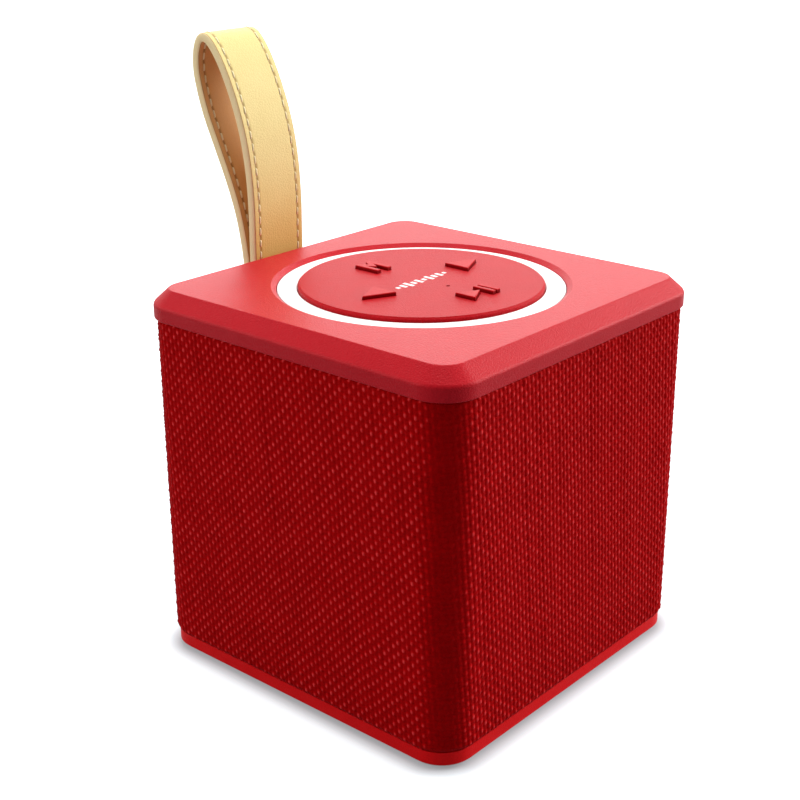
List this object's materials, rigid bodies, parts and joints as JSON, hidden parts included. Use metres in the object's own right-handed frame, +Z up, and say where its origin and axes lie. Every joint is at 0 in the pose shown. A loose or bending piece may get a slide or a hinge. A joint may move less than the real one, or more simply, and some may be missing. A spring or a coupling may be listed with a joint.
{
  "type": "party speaker",
  "caption": "Small cube party speaker wrapped in woven cloth, with a chamfered cap, a lit ring round a raised-key control pad, a round-edged base and a leather carrying loop.",
  "frame": {"origin": "centre of the square body, on the surface that the rubber foot stands on", "axes": "+Z up, -Y towards the front that the key legends read from, +Y towards the strap, +X to the right seen from the front"},
  "size_m": [0.084, 0.1023, 0.1308],
  "materials": {
    "cap_red": "satin moulded plastic",
    "pad_red": "soft satin plastic",
    "base_red": "satin moulded plastic",
    "cloth_red": "plain weave",
    "ring_white": "translucent diffuser, lit from below",
    "leather_tan": "smooth vegetable tanned",
    "leather_root": "raw flesh side",
    "black_plastic": "fine texture",
    "dark_rubber": "matte",
    "steel": "zinc plated",
    "ferrite": "sintered",
    "board_green": "solder mask",
    "nickel": "plated",
    "copper": "enamelled winding",
    "cone_paper": "pressed paper",
    "spider_cloth": "phenolic cloth",
    "wire_red": "pvc sleeve",
    "white_plastic": "moulded",
    "cell_wrap": "shrink sleeve",
    "flex_white": "flat cable"
  },
  "bodies": {
    "root": {"base": "base_red", "rubber_foot": "dark_rubber", "base_screws": "steel", "base_gasket": "dark_rubber", "housing": "black_plastic", "cloth_sleeve": "cloth_red", "top_cap": "cap_red", "cap_screws": "steel", "light_ring": "ring_white", "keypad_disc": "pad_red", "key_switches": "nickel", "control_board": "board_green", "control_board_screws": "steel", "ring_leds": "white_plastic", "microphone": "nickel", "microphone_boot": "dark_rubber", "ribbon_sockets": "white_plastic", "ribbon_cable": "flex_white", "strap_ends": "leather_root", "strap_clamp": "steel", "strap_clamp_screws": "steel", "driver_grille": "black_plastic", "driver_gasket": "dark_rubber", "driver_basket": "steel", "driver_top_plate": "steel", "driver_magnet": "ferrite", "driver_yoke": "steel", "driver_surround": "dark_rubber", "driver_spider": "spider_cloth", "driver_terminals": "copper", "driver_screws": "steel", "driver_wires": "wire_red", "main_board": "board_green", "main_board_screws": "steel", "board_components": "black_plastic", "usb_socket": "nickel", "aux_socket": "black_plastic", "power_switch": "nickel", "status_light": "white_plastic", "port_panel": "cap_red", "port_panel_screws": "steel", "battery_cell": "cell_wrap", "battery_pads": "dark_rubber", "battery_socket": "white_plastic", "battery_wires": "wire_red"},
    "strap": {"strap_loop": "leather_tan"},
    "mode_button": {"mode_key": "pad_red", "mode_switch_plunger": "black_plastic"},
    "previous_button": {"previous_key": "pad_red", "previous_switch_plunger": "black_plastic"},
    "next_button": {"next_key": "pad_red", "next_switch_plunger": "black_plastic"},
    "play_button": {"play_key": "pad_red", "play_switch_plunger": "black_plastic"},
    "power_switch_slide": {"power_slider": "cap_red", "power_switch_lever": "white_plastic"},
    "cone_assembly": {"driver_cone": "cone_paper", "dust_cap": "cone_paper", "voice_coil": "copper"}
  },
  "joints": [
    {"name": "strap_swing", "type": "hinge", "parent": "root", "child": "strap", "pos_m": [0, 0.04445, 0.0706], "axis": [-1, 0, 0], "range_deg": [0, 100], "stiffness_Nm_per_rad": 0.02},
    {"name": "mode_press", "type": "slide", "parent": "root", "child": "mode_button", "axis": [0, 0, -1], "range_m": [0, 0.0004], "stiffness_N_per_m": 1500},
    {"name": "previous_press", "type": "slide", "parent": "root", "child": "previous_button", "axis": [0, 0, -1], "range_m": [0, 0.0004], "stiffness_N_per_m": 1500},
    {"name": "next_press", "type": "slide", "parent": "root", "child": "next_button", "axis": [0, 0, -1], "range_m": [0, 0.0004], "stiffness_N_per_m": 1500},
    {"name": "play_press", "type": "slide", "parent": "root", "child": "play_button", "axis": [0, 0, -1], "range_m": [0, 0.0004], "stiffness_N_per_m": 1500},
    {"name": "power_slide", "type": "slide", "parent": "root", "child": "power_switch_slide", "axis": [1, 0, 0], "range_m": [0, 0.002]},
    {"name": "cone_excursion", "type": "slide", "parent": "root", "child": "cone_assembly", "axis": [0, -1, 0], "range_m": [-0.0012, 0.0012], "stiffness_N_per_m": 600, "deforming": ["driver_surround", "driver_spider"]}
  ]
}
